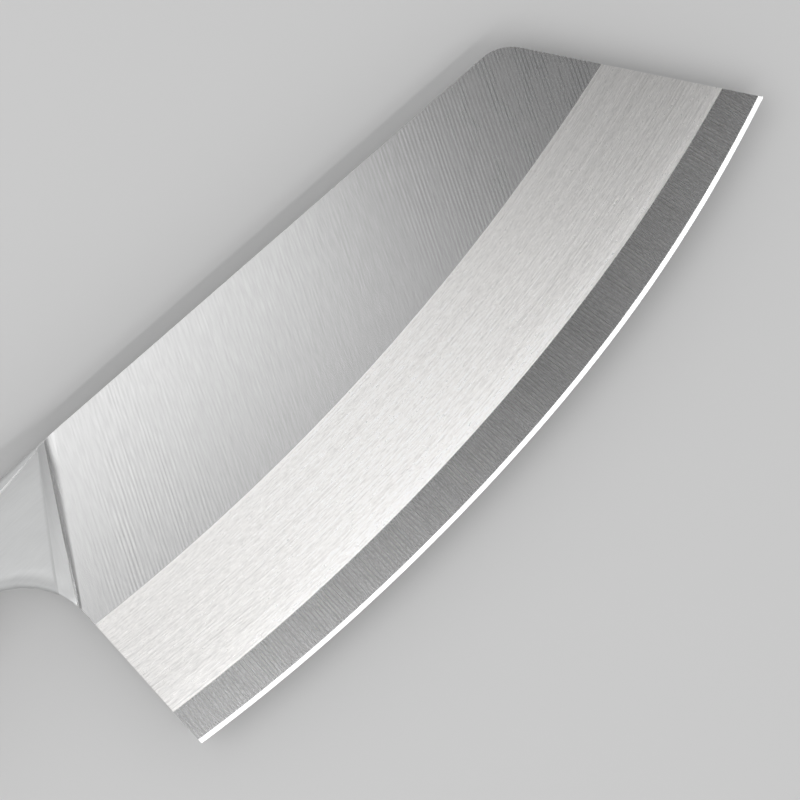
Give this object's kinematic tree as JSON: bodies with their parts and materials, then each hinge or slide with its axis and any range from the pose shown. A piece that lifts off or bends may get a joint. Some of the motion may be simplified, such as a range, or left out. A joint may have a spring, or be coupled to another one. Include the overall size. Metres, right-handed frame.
{
  "type": "kitchen cleaver",
  "caption": "Broad kitchen cleaver with a straight spine, slanted front, swept edge with stepped grinds, steel half bolsters and riveted wooden scales on a full tang.",
  "frame": {"origin": "under the middle of the knife's bounding box, on the surface that its left side rests on", "axes": "+X along the spine towards the tip, +Y from the cutting edge towards the spine, +Z out of the right side"},
  "size_m": [0.3354, 0.0854, 0.019],
  "materials": {
    "blade_steel": "ground in three bands, each with its own grain, and a bright honed edge",
    "bolster_steel": "fine satin",
    "handle_wood": "dark close-grained hardwood, oiled",
    "rivet_steel": "ground flush with the wood"
  },
  "bodies": {
    "root": {"blade": "blade_steel", "right_bolster": "bolster_steel", "left_bolster": "bolster_steel", "right_scale": "handle_wood", "left_scale": "handle_wood", "front_rivet_stud": "rivet_steel", "middle_rivet_stud": "rivet_steel", "rear_rivet_stud": "rivet_steel", "front_rivet_socket": "rivet_steel", "middle_rivet_socket": "rivet_steel", "rear_rivet_socket": "rivet_steel"}
  },
  "joints": []
}
